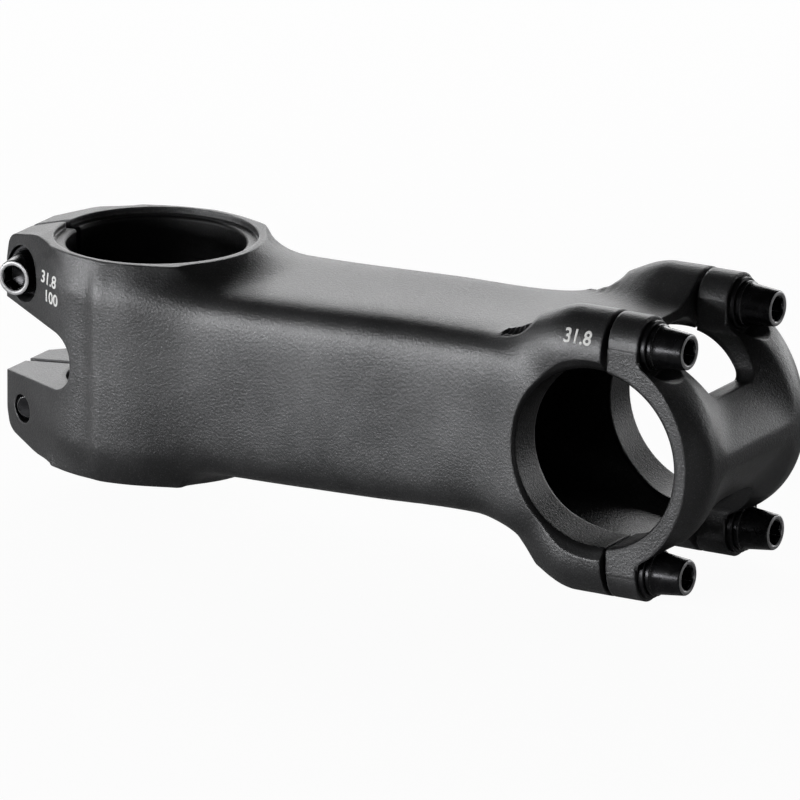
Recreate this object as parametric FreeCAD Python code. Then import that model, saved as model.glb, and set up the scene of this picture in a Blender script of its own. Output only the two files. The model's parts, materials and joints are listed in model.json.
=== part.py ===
"""Handlebar stem for a bicycle, 100 mm long at 0 degrees, clamping a 31.8 mm steerer and a 31.8 mm bar.

The frame has its origin at the middle of the steerer bore.  +X runs forward to the handlebar, +Y is the
rider's left, +Z is up, and every size is in millimetres.
"""
import FreeCAD, Part
import math
import os

V = FreeCAD.Vector
X_AXIS, Y_AXIS, Z_AXIS = V(1, 0, 0), V(0, 1, 0), V(0, 0, 1)

# ---- overall sizes ---------------------------------------------------------------------------------
REACH = 100.0                 # steerer axis to bar axis
STACK_HEIGHT = 40.0           # height of the steerer clamp
BAR_CLAMP_WIDTH = 42.0        # width of the bar clamp along Y

# ---- steerer clamp ---------------------------------------------------------------------------------
STEERER_DIAMETER = 31.8
COLLAR_WALL = 4.4             # bore to the upright outer wall
COUNTERBORE_WIDER = 2.1       # step at the top, wider than the bore all round
COUNTERBORE_DEPTH = 1.1
RIM_LEAN = 1.5                # how far the wall leans in between its crease and the rim
LEAN_HEIGHT = 6.5             # height of the leaning band, above and below
LEAN_POWER = 1.25             # how the lean grows over the band
REAR_OVERHANG = 10.5          # bore edge to the flat rear end
REAR_HALF_WIDTH = 7.0
REAR_CORNER = 1.2             # rounded upright corners of the rear end
EAR_TOP_SLOPE = 15.0          # degrees, falling to the rear
EAR_SLOPE_START = 2.4         # behind the bore edge, where the fall begins
EAR_SLOPE_ROUND = 10.0        # round where the flat rim turns into the slope
EAR_END_ROUND = 2.2           # round where the slope meets the rear end
SLIT_WIDTH = 1.6
WINDOW_ROUND_CENTRE = 10.9    # opening between the rear ears: its round end, behind the steerer axis
WINDOW_TAPER = 1.7            # half height lost from the rear face to the round end
WINDOW_TIP_SHARE = 0.98       # round end's corners as a share of its half height
STEERER_BOLT_BACK = 5.3       # bore edge to the bolt axis
STEERER_BOLT_INSET = 7.7      # bolt axis below the rim
STEERER_BOLT_WALL = 5.7       # bolt axis to the window, at the rear face
STEERER_SEAT = 5.8            # spotface from the middle plane
BORE_EDGE = 0.35              # small chamfer on the bore edges

# ---- bar clamp -------------------------------------------------------------------------------------
BAR_DIAMETER = 31.8
BAR_EDGE = 1.0                # chamfer on the outer edges of the bar bore
SPLIT_OFFSET = 2.4            # middle of the split, in front of the bar axis
SPLIT_GAP = 0.8
BAR_BOLT_OFFSET = 4.3         # bolt axis outside the bar bore, measured along Z
EAR_WALL = 2.8                # metal around the bolt shank
EAR_INSET = 0.2               # ears inside the clamp's side faces
EAR_BLEND_BACK = 24.0         # bar axis back to where the ears begin to rise
EAR_FULL_BACK = 5.0           # bar axis back to where they have their full height
EAR_BLEND = 7.0               # concave flare between the ears and the rest
EAR_SUNK = 8.0                # how far the ears lie below their full radius where they begin
TAPPED_BACK = 21.0            # bar axis back to the end of the tapped holes

# ---- faceplate -------------------------------------------------------------------------------------
EAR_FRONT = 8.5               # bar axis to the washer seat
FACE_WALL = 5.1               # bar bore to the crown of the bridge
FACE_WALL_DROP = 1.0          # less at the legs' ends
CHEEK_WALL = 2.4              # bar bore to the outer edge of the side faces
CHEEK_WALL_RISE = 1.5
CHEEK_CHAMFER = 4.6           # width of the bevelled band along Y
LEG_HALF_HEIGHT = 17.0        # height at which the drop and the rise are complete
CREST_ROUND = 0.8             # round between the crown and the bevelled band
FACET_INSET = 7.7             # side faces to the sunk facets
FACET_START = 1.5             # half height of the bridge ridge
FACET_CORNER = 4.0
FACET_SLOPE = 0.32
FACET_SOFT = 0.3              # round at the facets' edges
SEAT_DEPTH = 0.6              # washer pocket below the shoulder around it
SHOULDER_BLEND = 0.8
SPOT_MARGIN = 0.45            # washer pocket, wider than the ear
NOTCH_SUNK = 6.6              # bottom of the notch, inside the bar radius
NOTCH_RISE = 6.5              # height over which its sides lean out
NOTCH_LEAN = 3.2              # how far they lean out
NOTCH_EAR_OVERLAP = 0.2       # notch side, into the ear
NOTCH_CORNER = 3.2
NOTCH_KNEE = 2.0

# ---- fasteners -------------------------------------------------------------------------------------
BOLT_DIAMETER = 5.0
BOLT_HOLE_CLEARANCE = 0.05    # radial, in the tapped holes
PLAIN_HOLE_CLEARANCE = 0.25   # radial, in the faceplate and the near ears
WASHER_THICKNESS = 1.1
WASHER_RIM = 2.1              # washer's edge outside the shank
WASHER_BORE_CLEARANCE = 0.08
STEERER_SPOT_CLEARANCE = 0.3  # radial, around a pinch screw's washer
HEAD_FLANGE = 0.9
HEAD_FLANGE_STEP = 0.25       # from the flange up to the taper
HEAD_BASE_RIM = 1.6           # head's foot outside the shank
HEAD_END_RIM = 0.65           # head's end outside the shank
HEAD_END_EDGE = 0.4
HEAD_LENGTH = 6.4
SOCKET_ACROSS_FLATS = 4.0
SOCKET_DEPTH = 3.2
BOLT_TIP = 0.6
FACEPLATE_BOLT_LENGTH = 19.0
STEERER_BOLT_LENGTH = 16.0

# ---- worked out ------------------------------------------------------------------------------------
STEERER_RADIUS = STEERER_DIAMETER / 2
BAR_RADIUS = BAR_DIAMETER / 2
COLLAR_RADIUS = STEERER_RADIUS + COLLAR_WALL
HALF_STACK = STACK_HEIGHT / 2
HALF_BAR_CLAMP = BAR_CLAMP_WIDTH / 2
BOLT_RADIUS = BOLT_DIAMETER / 2
TAPPED_RADIUS = BOLT_RADIUS + BOLT_HOLE_CLEARANCE
PLAIN_RADIUS = BOLT_RADIUS + PLAIN_HOLE_CLEARANCE
WASHER_RADIUS = BOLT_RADIUS + WASHER_RIM
REAR_X = -(STEERER_RADIUS + REAR_OVERHANG)
STEERER_BOLT_X = -(STEERER_RADIUS + STEERER_BOLT_BACK)
STEERER_BOLT_HEIGHT = HALF_STACK - STEERER_BOLT_INSET
EAR_RADIUS = BOLT_RADIUS + EAR_WALL
BAR_BOLT_Y = HALF_BAR_CLAMP - EAR_INSET - EAR_RADIUS
BAR_BOLT_Z = BAR_RADIUS + BAR_BOLT_OFFSET
BODY_FRONT_X = REACH + SPLIT_OFFSET - SPLIT_GAP / 2
FACEPLATE_BACK_X = REACH + SPLIT_OFFSET + SPLIT_GAP / 2
SEAT_X = REACH + EAR_FRONT
OUTSIDE = 60.0                # beyond the part, up and sideways
SKIN_MARGIN = 4.0             # how far the raw skin stands above the stack before its ends are cut
PASS = 5.0                    # how far cutting tools run past what they cut

# ---- extension tube --------------------------------------------------------------------------------
# each row: place along X, half width, height above, depth below
TUBE_ROWS = (
    (10.0, COLLAR_RADIUS - 2.0, HALF_STACK - 3.4, HALF_STACK - 2.8),
    (30.0, COLLAR_RADIUS - 2.2, HALF_STACK - 3.3, HALF_STACK - 2.9),
    (REACH - 48.0, 18.0, 17.4, 16.6),
    (REACH - 26.0, 18.3, 17.9, 15.9),
    (REACH - 16.0, HALF_BAR_CLAMP - 0.4, BAR_RADIUS + 3.1, BAR_RADIUS + 1.7),
    (REACH - 7.0, HALF_BAR_CLAMP, BAR_RADIUS + 4.0, BAR_RADIUS + 3.0),
    (REACH + 4.0, HALF_BAR_CLAMP, BAR_RADIUS + 4.7, BAR_RADIUS + 3.9),
)
TUBE_POWER = 7.0              # squareness of the tube's section
COLLAR_BLEND = 7.0            # concave flare between the collar and the tube
COLLAR_FLARE = 9.0            # how far forward of the collar its flat rims may reach
POCKET_WALL = 1.55            # hollow to the tapped holes, where it opens into the bar bore
# each row: place along X, half width and half height of the hollow
POCKET_ROWS = (
    (30.0, 11.0, 11.6),
    (REACH - 28.0, 14.2, 12.8),
    (BODY_FRONT_X + 2.0, BAR_BOLT_Y - TAPPED_RADIUS - POCKET_WALL, BAR_RADIUS + 3.1),
)
POCKET_CORNER = 5.0


# ---- small helpers ---------------------------------------------------------------------------------
def smooth_min(a, b, width):
    """Lesser of a and b, rounded over about the given width."""
    h = max(width - abs(a - b), 0.0) / width
    return min(a, b) - h * h * width / 4


def smooth_step(x, start, end):
    """0 before start, 1 after end, with level ends."""
    t = min(max((x - start) / (end - start), 0.0), 1.0)
    return t * t * (3 - 2 * t)


def row_value(x, column):
    """A column of TUBE_ROWS at x, by a smooth curve through the rows."""
    rows = [(row[0], row[column]) for row in TUBE_ROWS]
    if x <= rows[0][0]:
        return rows[0][1]
    if x >= rows[-1][0]:
        return rows[-1][1]
    slopes = [(b[1] - a[1]) / (b[0] - a[0]) for a, b in zip(rows, rows[1:])]
    ends = [0.0] + [(s + t) / 2 if s * t > 0 else 0.0 for s, t in zip(slopes, slopes[1:])] + [slopes[-1]]
    i = max(k for k in range(len(rows) - 1) if rows[k][0] <= x)
    span = rows[i + 1][0] - rows[i][0]
    t = (x - rows[i][0]) / span
    return ((2 * t ** 3 - 3 * t ** 2 + 1) * rows[i][1] + (t ** 3 - 2 * t ** 2 + t) * span * ends[i]
            + (3 * t ** 2 - 2 * t ** 3) * rows[i + 1][1] + (t ** 3 - t ** 2) * span * ends[i + 1])


def cylinder(radius, start, axis, length):
    return Part.makeCylinder(radius, length, start, axis)


def box(x0, x1, y0, y1, z0, z1):
    return Part.makeBox(x1 - x0, y1 - y0, z1 - z0, V(x0, y0, z0))


def turned(profile, centre, axis):
    """Solid of revolution about the axis through the centre; profile rows are (along the axis, radius)."""
    wire = Part.makePolygon([V(r, 0, along) for along, r in profile + profile[:1]])
    solid = Part.Face(wire).revolve(V(0, 0, 0), Z_AXIS, 360)
    solid.Placement = FreeCAD.Placement(centre, FreeCAD.Rotation(Z_AXIS, axis))
    return solid


def bar_bore_tool(edge):
    """Bore for the bar, with its two outer edges bevelled."""
    inner, outer = HALF_BAR_CLAMP - edge, HALF_BAR_CLAMP + PASS
    wide = BAR_RADIUS + edge + PASS
    profile = [(-outer, 0), (-outer, wide), (-inner, BAR_RADIUS), (inner, BAR_RADIUS), (outer, wide), (outer, 0)]
    return turned(profile, V(REACH, 0, 0), Y_AXIS)


def steerer_bore_tool():
    """Bore for the steerer, with a bevelled lower edge and the shallow wider step at the top."""
    step, top = HALF_STACK - COUNTERBORE_DEPTH, HALF_STACK + PASS
    low, foot = -HALF_STACK + BORE_EDGE, -HALF_STACK - PASS
    wide = STEERER_RADIUS + COUNTERBORE_WIDER
    profile = [(foot, 0), (foot, STEERER_RADIUS + BORE_EDGE + PASS), (low, STEERER_RADIUS),
               (step - BORE_EDGE, STEERER_RADIUS), (step, STEERER_RADIUS + BORE_EDGE),
               (step, wide), (top, wide), (top, 0)]
    return turned(profile, V(0, 0, 0), Z_AXIS)


def rounded_outline(points, radii, plane):
    """Closed wire through corner points, each corner rounded by a tangent arc.

    plane maps a pair (a, b) to a 3-D point.
    """
    edges = []
    starts, ends, middles = [], [], []
    count = len(points)
    for i in range(count):
        p, corner, q = points[i - 1], points[i], points[(i + 1) % count]
        to_p = (p[0] - corner[0], p[1] - corner[1])
        to_q = (q[0] - corner[0], q[1] - corner[1])
        lp, lq = math.hypot(*to_p), math.hypot(*to_q)
        up, uq = (to_p[0] / lp, to_p[1] / lp), (to_q[0] / lq, to_q[1] / lq)
        half = math.acos(max(-1.0, min(1.0, up[0] * uq[0] + up[1] * uq[1]))) / 2
        setback = radii[i] / math.tan(half)
        bisector = (up[0] + uq[0], up[1] + uq[1])
        length = math.hypot(*bisector)
        centre_distance = radii[i] / math.sin(half)
        reach = centre_distance - radii[i]
        starts.append((corner[0] + up[0] * setback, corner[1] + up[1] * setback))
        ends.append((corner[0] + uq[0] * setback, corner[1] + uq[1] * setback))
        middles.append((corner[0] + bisector[0] / length * reach, corner[1] + bisector[1] / length * reach))
    for i in range(count):
        if radii[i] > 0:
            edges.append(Part.Arc(plane(*starts[i]), plane(*middles[i]), plane(*ends[i])).toShape())
        following = (i + 1) % count
        edges.append(Part.makeLine(plane(*ends[i]), plane(*starts[following])))
    return Part.Wire(edges)


# ---- spline surfaces -------------------------------------------------------------------------------
DEGREE = 3


def basis_row(knots, count, t):
    """Values at t of the cubic B-spline basis functions on a clamped knot list."""
    if t >= knots[-1]:
        return [0.0] * (count - 1) + [1.0]
    values = [1.0 if knots[i] <= t < knots[i + 1] else 0.0 for i in range(len(knots) - 1)]
    for degree in range(1, DEGREE + 1):
        for i in range(len(knots) - 1 - degree):
            left, right = knots[i + degree] - knots[i], knots[i + degree + 1] - knots[i + 1]
            rising = (t - knots[i]) / left * values[i] if left else 0.0
            falling = (knots[i + degree + 1] - t) / right * values[i + 1] if right else 0.0
            values[i] = rising + falling
    return values[:count]


def solve_rows(matrix, rows):
    """Solve matrix * X = rows by elimination; each row of the right side is a list of vectors."""
    matrix = [list(line) for line in matrix]
    rows = [list(line) for line in rows]
    count = len(matrix)
    for i in range(count):
        for k in range(i + 1, min(count, i + 2 * DEGREE)):
            if matrix[k][i]:
                factor = matrix[k][i] / matrix[i][i]
                for j in range(i, min(count, i + 2 * DEGREE + 1)):
                    matrix[k][j] -= factor * matrix[i][j]
                rows[k] = [b - a * factor for a, b in zip(rows[i], rows[k])]
    for i in reversed(range(count)):
        for k in range(i + 1, min(count, i + 2 * DEGREE + 1)):
            if matrix[i][k]:
                rows[i] = [b - a * matrix[i][k] for a, b in zip(rows[k], rows[i])]
        rows[i] = [b * (1 / matrix[i][i]) for b in rows[i]]
    return rows


def spline_knots(places):
    return [places[0]] * (DEGREE + 1) + list(places[2:-2]) + [places[-1]] * (DEGREE + 1)


def spline_surface(grid, us, vs):
    """Cubic surface through grid[i][j] at the places us[i], vs[j]; both directions keep their own places."""
    u_knots, v_knots = spline_knots(us), spline_knots(vs)
    poles = solve_rows([basis_row(u_knots, len(us), u) for u in us], grid)
    crosswise = [list(line) for line in zip(*poles)]
    crosswise = solve_rows([basis_row(v_knots, len(vs), v) for v in vs], crosswise)
    poles = [list(line) for line in zip(*crosswise)]
    multiplicities = [[DEGREE + 1] + [1] * (len(places) - 4) + [DEGREE + 1] for places in (us, vs)]
    distinct = [[places[0]] + list(places[2:-2]) + [places[-1]] for places in (us, vs)]
    surface = Part.BSplineSurface()
    surface.buildFromPolesMultsKnots(poles, *multiplicities, *distinct, False, False, DEGREE, DEGREE)
    return surface


# ---- stem body: outer skin -------------------------------------------------------------------------
ANGLE_STEPS = 72              # directions around half a section
HALVINGS = 34                 # of the span searched for the skin along each direction
# angle of the straight flanks that run from the round collar to the narrow rear end
_rear_distance = math.hypot(REAR_X, REAR_HALF_WIDTH)
FLANK_ANGLE = math.asin(COLLAR_RADIUS / _rear_distance) - math.atan2(REAR_HALF_WIDTH, -REAR_X)


def collar_reach(x, y):
    """Plan measure of a point: its distance to the steerer axis, or to the axis along a flank's normal."""
    along = -x * math.cos(FLANK_ANGLE) - abs(y) * math.sin(FLANK_ANGLE)
    if along > 0:
        return -x * math.sin(FLANK_ANGLE) + abs(y) * math.cos(FLANK_ANGLE)
    return math.hypot(x, y)


def collar_field(x, y, z):
    """Negative inside the collar with its rear ears, before the flat top and bottom are cut."""
    lean = max(abs(z) - (HALF_STACK - LEAN_HEIGHT), 0.0)
    wall = collar_reach(x, y) - (COLLAR_RADIUS - RIM_LEAN * (lean / LEAN_HEIGHT) ** LEAN_POWER)
    return -smooth_min(-wall, HALF_STACK + SKIN_MARGIN - abs(z), SKIN_MARGIN)


def tube_field(x, y, z):
    """Negative inside the extension tube, which widens into the bar clamp."""
    if x < 0:
        return OUTSIDE
    half_width = row_value(x, 1)
    half_height = row_value(x, 2) if z > 0 else row_value(x, 3)
    power = TUBE_POWER
    share = (abs(y) / half_width) ** power + (abs(z) / half_height) ** power
    return (share ** (1 / power) - 1) * half_width


def ear_field(x, y, z):
    """Negative inside the rounded ears that carry the faceplate bolts."""
    rise = smooth_step(x, REACH - EAR_BLEND_BACK, REACH - EAR_FULL_BACK)
    return math.hypot(abs(y) - BAR_BOLT_Y, abs(z) - BAR_BOLT_Z) - EAR_RADIUS + (1 - rise) * EAR_SUNK


def skin_field(x, y, z):
    field = smooth_min(collar_field(x, y, z), tube_field(x, y, z), COLLAR_BLEND)
    return smooth_min(field, ear_field(x, y, z), EAR_BLEND)


def skin_radius(x, angle):
    """Distance from the X axis to the skin in the section at x, along the angle from the +Y side."""
    inside, outside = 0.5, OUTSIDE
    for _ in range(HALVINGS):
        middle = (inside + outside) / 2
        if skin_field(x, middle * math.cos(angle), middle * math.sin(angle)) < 0:
            inside = middle
        else:
            outside = middle
    return inside


def skin_stations():
    """Section places along X, closer together where the shape changes quickly."""
    spans = ((REAR_X, -12.0, 8), (-12.0, 12.0, 10), (12.0, 36.0, 14), (36.0, REACH - 28, 8),
             (REACH - 28, REACH - 2, 22), (REACH - 2, BODY_FRONT_X + 1.0, 3))
    places = [REAR_X - 1.0]
    for start, end, count in spans:
        places += [start + (end - start) * i / count for i in range(count)]
    return places + [BODY_FRONT_X + 1.0]


def skin_angles():
    return [math.radians(-90 + 180 * i / ANGLE_STEPS) for i in range(ANGLE_STEPS + 1)]


def make_skin():
    """Closed solid inside the outer skin, from two mirrored halves and flat ends."""
    grid = []
    for x in skin_stations():
        row = []
        for angle in skin_angles():
            radius = skin_radius(x, angle)
            y = 0.0 if abs(math.cos(angle)) < 1e-9 else radius * math.cos(angle)
            row.append(V(x, y, radius * math.sin(angle)))
        grid.append(row)
    faces = []
    end_edges = {0: [], 1: []}
    for side in (1, -1):
        mirrored = [[V(p.x, side * p.y, p.z) for p in row] for row in grid]
        surface = spline_surface(mirrored, skin_stations(), skin_angles())
        faces.append(surface.toShape())
        u0, u1, _, _ = surface.bounds()
        end_edges[0].append(surface.uIso(u0).toShape())
        end_edges[1].append(surface.uIso(u1).toShape())
    for end in (0, 1):
        faces.append(Part.Face(Part.Wire(Part.sortEdges(end_edges[end])[0])))
    shell = Part.makeShell(faces)
    shell.sewShape()
    solid = Part.Solid(Part.Shell(shell.Faces) if shell.ShapeType != "Shell" else shell)
    if solid.Volume < 0:
        solid.reverse()
    return solid


# ---- stem body: cuts -------------------------------------------------------------------------------
def side_profile_tools():
    """Everything outside the part's side view, except where the arm and the bar clamp stand above the stack."""
    slope_start, rim_end = -(STEERER_RADIUS + EAR_SLOPE_START), COLLAR_RADIUS + COLLAR_FLARE
    rear_height = HALF_STACK - math.tan(math.radians(EAR_TOP_SLOPE)) * (slope_start - REAR_X)
    upper = [(REAR_X, rear_height), (slope_start, HALF_STACK), (rim_end, HALF_STACK), (rim_end, OUTSIDE),
             (BODY_FRONT_X, OUTSIDE)]
    radii = [EAR_END_ROUND, EAR_SLOPE_ROUND, 0, 0, 0]
    outline = upper + [(x, -z) for x, z in reversed(upper)]
    wire = rounded_outline(outline, radii + radii[::-1], lambda x, z: V(x, -OUTSIDE, z))
    kept = Part.Face(wire).extrude(V(0, 2 * OUTSIDE, 0))
    block = box(REAR_X - PASS, BODY_FRONT_X + PASS, 1 - OUTSIDE, OUTSIDE - 1, 1 - OUTSIDE, OUTSIDE - 1)
    return block.cut(kept).Solids


def rear_corner_tool(side):
    """Prism outside the rounded upright corner between a flank and the rear end."""
    to_flank = V(-math.sin(FLANK_ANGLE), side * math.cos(FLANK_ANGLE), 0)
    to_rear = V(-1, 0, 0)
    centre_x = REAR_X + REAR_CORNER
    centre_y = (COLLAR_RADIUS - REAR_CORNER + centre_x * math.sin(FLANK_ANGLE)) / math.cos(FLANK_ANGLE)
    centre = V(centre_x, side * centre_y, -OUTSIDE)
    outward = (to_flank + to_rear).normalize()
    on_flank, on_rear = centre + to_flank * REAR_CORNER, centre + to_rear * REAR_CORNER
    arc = Part.Arc(on_flank, centre + outward * REAR_CORNER, on_rear)
    corner = centre + outward * (REAR_CORNER + PASS)
    edges = [arc.toShape(), Part.makeLine(on_rear, corner), Part.makeLine(corner, on_flank)]
    return Part.Face(Part.Wire(edges)).extrude(V(0, 0, 2 * OUTSIDE))


def window_tool():
    """Opening between the upper and lower rear ears, a wedge that ends in a round."""
    half_rear = STEERER_BOLT_HEIGHT - STEERER_BOLT_WALL
    half_front = half_rear - WINDOW_TAPER
    slope = (half_rear - half_front) / (-REAR_X - WINDOW_ROUND_CENTRE)
    rear = REAR_X - PASS
    half_far = half_front + slope * (-rear - WINDOW_ROUND_CENTRE)
    tip = -WINDOW_ROUND_CENTRE + half_front
    outline = [(rear, -half_far), (tip, -half_front), (tip, half_front), (rear, half_far)]
    corner = half_front * WINDOW_TIP_SHARE
    wire = rounded_outline(outline, [0, corner, corner, 0], lambda x, z: V(x, -OUTSIDE, z))
    return Part.Face(wire).extrude(V(0, 2 * OUTSIDE, 0))


def pocket_tool():
    """Hollow of the tube, open to the bar bore."""
    wires = []
    for x, a, b in POCKET_ROWS:
        outline = [(a, b), (-a, b), (-a, -b), (a, -b)]
        wires.append(rounded_outline(outline, [POCKET_CORNER] * 4, lambda y, z, x=x: V(x, y, z)))
    return Part.makeLoft(wires, True, True)


def steerer_bolt_sides():
    """Upper bolt enters from the right (-Y), the lower one from the left (+Y)."""
    return (("upper", 1, -1), ("lower", -1, 1))


def body_tools():
    tools = [steerer_bore_tool(), window_tool(), pocket_tool(), bar_bore_tool(BAR_EDGE)]
    half_slit = SLIT_WIDTH / 2
    tools.append(box(REAR_X - PASS, -COLLAR_WALL, -half_slit, half_slit, -OUTSIDE, OUTSIDE))
    for y_side in (1, -1):
        for z_side in (1, -1):
            start = V(REACH - TAPPED_BACK, y_side * BAR_BOLT_Y, z_side * BAR_BOLT_Z)
            tools.append(cylinder(TAPPED_RADIUS, start, X_AXIS, TAPPED_BACK + SPLIT_OFFSET + PASS))
    for _, z_side, y_side in steerer_bolt_sides():
        centre = V(STEERER_BOLT_X, 0, z_side * STEERER_BOLT_HEIGHT)
        out = V(0, y_side, 0)
        spot_radius = WASHER_RADIUS + STEERER_SPOT_CLEARANCE
        tools.append(cylinder(spot_radius, centre + out * STEERER_SEAT, out, COLLAR_RADIUS))
        tools.append(cylinder(PLAIN_RADIUS, centre, out, COLLAR_RADIUS))
        tools.append(cylinder(TAPPED_RADIUS, centre, out * -1, COLLAR_RADIUS))
    return tools


def make_stem_body():
    body = make_skin()
    for tools in (side_profile_tools(), body_tools(), [rear_corner_tool(1)], [rear_corner_tool(-1)]):
        body = body.cut(tools)
    return largest_solid(body)


def largest_solid(shape):
    return max(shape.Solids, key=lambda s: s.Volume)


# ---- faceplate -------------------------------------------------------------------------------------
def face_radius(y, z):
    """Distance of the front surface from the bar axis: crowned bridge and legs, bevelled cheeks, facets."""
    tall = (z / LEG_HALF_HEIGHT) ** 2
    base = BAR_RADIUS + FACE_WALL - FACE_WALL_DROP * tall
    cheek = BAR_RADIUS + CHEEK_WALL + CHEEK_WALL_RISE * tall
    bevel = cheek + (HALF_BAR_CLAMP - abs(y)) * (base - cheek) / CHEEK_CHAMFER
    outer = smooth_min(base, bevel, CREST_ROUND)
    inner = smooth_min(HALF_BAR_CLAMP - FACET_INSET - abs(y), abs(z) - FACET_START, FACET_CORNER)
    return outer - FACET_SLOPE * (inner + math.sqrt(inner ** 2 + FACET_SOFT ** 2)) / 2


def face_front(y, z):
    """X of the front surface at (y, z), never behind the shoulder around the washer seats."""
    radius = face_radius(y, z)
    arch = math.sqrt(max(radius ** 2 - z ** 2, 1.0))
    return REACH - smooth_min(-EAR_FRONT - SEAT_DEPTH, -arch, SHOULDER_BLEND)


def front_tool():
    """Everything in front of the faceplate's front surface."""
    count_y, count_z = 64, 72
    half_y, half_z = HALF_BAR_CLAMP + 2, BAR_BOLT_Z + EAR_RADIUS + 2
    across = [half_y * (2 * i / count_y - 1) for i in range(count_y + 1)]
    upward = [half_z * (2 * j / count_z - 1) for j in range(count_z + 1)]
    grid = [[V(face_front(y, z), y, z) for z in upward] for y in across]
    return spline_surface(grid, across, upward).toShape().extrude(V(OUTSIDE, 0, 0))


def notch_tool(side):
    """Opening above (side 1) or below (side -1) the bridge, wider towards the ears."""
    bottom, far = BAR_RADIUS - NOTCH_SUNK, BAR_BOLT_Z + EAR_RADIUS + PASS
    knee = bottom + NOTCH_RISE
    wide = BAR_BOLT_Y - EAR_RADIUS + NOTCH_EAR_OVERLAP
    narrow = wide - NOTCH_LEAN
    outline = [(-narrow, bottom), (narrow, bottom), (wide, knee), (wide, far), (-wide, far), (-wide, knee)]
    radii = [NOTCH_CORNER, NOTCH_CORNER, NOTCH_KNEE, 0, 0, NOTCH_KNEE]
    wire = rounded_outline(outline, radii, lambda y, z: V(FACEPLATE_BACK_X - PASS, y, side * z))
    return Part.Face(wire).extrude(V(OUTSIDE, 0, 0))


def make_faceplate():
    depth = BAR_RADIUS + FACE_WALL + REACH - FACEPLATE_BACK_X + PASS
    blank = box(FACEPLATE_BACK_X, FACEPLATE_BACK_X + depth, -HALF_BAR_CLAMP, HALF_BAR_CLAMP,
                -BAR_BOLT_Z, BAR_BOLT_Z)
    for y_side in (1, -1):
        for z_side in (1, -1):
            centre = V(FACEPLATE_BACK_X, y_side * BAR_BOLT_Y, z_side * BAR_BOLT_Z)
            blank = blank.fuse(cylinder(EAR_RADIUS, centre, X_AXIS, depth))
    plate = blank.removeSplitter()
    tools = [bar_bore_tool(BORE_EDGE), notch_tool(1), notch_tool(-1)]
    for y_side in (1, -1):
        for z_side in (1, -1):
            centre = V(SEAT_X, y_side * BAR_BOLT_Y, z_side * BAR_BOLT_Z)
            tools.append(cylinder(EAR_RADIUS + SPOT_MARGIN, centre, X_AXIS, depth))
            tools.append(cylinder(PLAIN_RADIUS, centre - X_AXIS * depth, X_AXIS, 2 * depth))
    for tool in tools + [front_tool()]:
        plate = plate.cut(tool)
    return largest_solid(plate)


# ---- fasteners -------------------------------------------------------------------------------------
def place(shape, seat, direction):
    """Turn a fastener built along +X, with its washer seat at the origin, to a seat and direction."""
    rotation = FreeCAD.Rotation(X_AXIS, direction)
    shape = shape.copy()
    shape.Placement = FreeCAD.Placement(seat, rotation)
    return shape


def make_washer():
    ring = cylinder(WASHER_RADIUS, V(0, 0, 0), X_AXIS, WASHER_THICKNESS)
    return ring.cut(cylinder(BOLT_RADIUS + WASHER_BORE_CLEARANCE, V(-1, 0, 0), X_AXIS, WASHER_THICKNESS + 2))


def make_bolt(length):
    """Screw with a tapered head and a hexagon socket; its head sits on the washer, its shank runs to -X."""
    base = WASHER_THICKNESS
    end = base + HEAD_LENGTH
    foot_radius, end_radius = BOLT_RADIUS + HEAD_BASE_RIM, BOLT_RADIUS + HEAD_END_RIM
    taper_start = base + HEAD_FLANGE + HEAD_FLANGE_STEP
    profile = [(base, 0), (base, foot_radius), (base + HEAD_FLANGE, foot_radius),
               (taper_start, foot_radius - HEAD_FLANGE_STEP), (end - HEAD_END_EDGE, end_radius),
               (end, end_radius - HEAD_END_EDGE), (end, 0)]
    wire = Part.makePolygon([V(x, 0, r) for x, r in profile + profile[:1]])
    head = Part.Face(wire).revolve(V(0, 0, 0), X_AXIS, 360)
    corner = SOCKET_ACROSS_FLATS / math.sqrt(3)
    hexagon = [V(end + 1, corner * math.cos(math.radians(60 * i)), corner * math.sin(math.radians(60 * i)))
               for i in range(7)]
    socket = Part.Face(Part.makePolygon(hexagon)).extrude(V(-SOCKET_DEPTH - 1, 0, 0))
    overlap = HEAD_FLANGE / 2
    shank = cylinder(BOLT_RADIUS, V(base - length + BOLT_TIP, 0, 0), X_AXIS, length - BOLT_TIP + overlap)
    point = Part.makeCone(BOLT_RADIUS - BOLT_TIP, BOLT_RADIUS, BOLT_TIP, V(base - length, 0, 0), X_AXIS)
    return largest_solid(head.cut(socket).fuse([shank, point]).removeSplitter())


def make_parts():
    parts = {"stem_body": make_stem_body(), "faceplate": make_faceplate()}
    faceplate_bolt, steerer_bolt = make_bolt(FACEPLATE_BOLT_LENGTH), make_bolt(STEERER_BOLT_LENGTH)
    washer = make_washer()
    for height, z_side in (("upper", 1), ("lower", -1)):
        for hand, y_side in (("left", 1), ("right", -1)):
            seat = V(SEAT_X, y_side * BAR_BOLT_Y, z_side * BAR_BOLT_Z)
            parts[f"faceplate_bolt_{height}_{hand}"] = place(faceplate_bolt, seat, X_AXIS)
            parts[f"faceplate_washer_{height}_{hand}"] = place(washer, seat, X_AXIS)
    for height, z_side, y_side in steerer_bolt_sides():
        seat = V(STEERER_BOLT_X, y_side * STEERER_SEAT, z_side * STEERER_BOLT_HEIGHT)
        parts[f"steerer_bolt_{height}"] = place(steerer_bolt, seat, V(0, y_side, 0))
        parts[f"steerer_washer_{height}"] = place(washer, seat, V(0, y_side, 0))
    return parts


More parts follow.
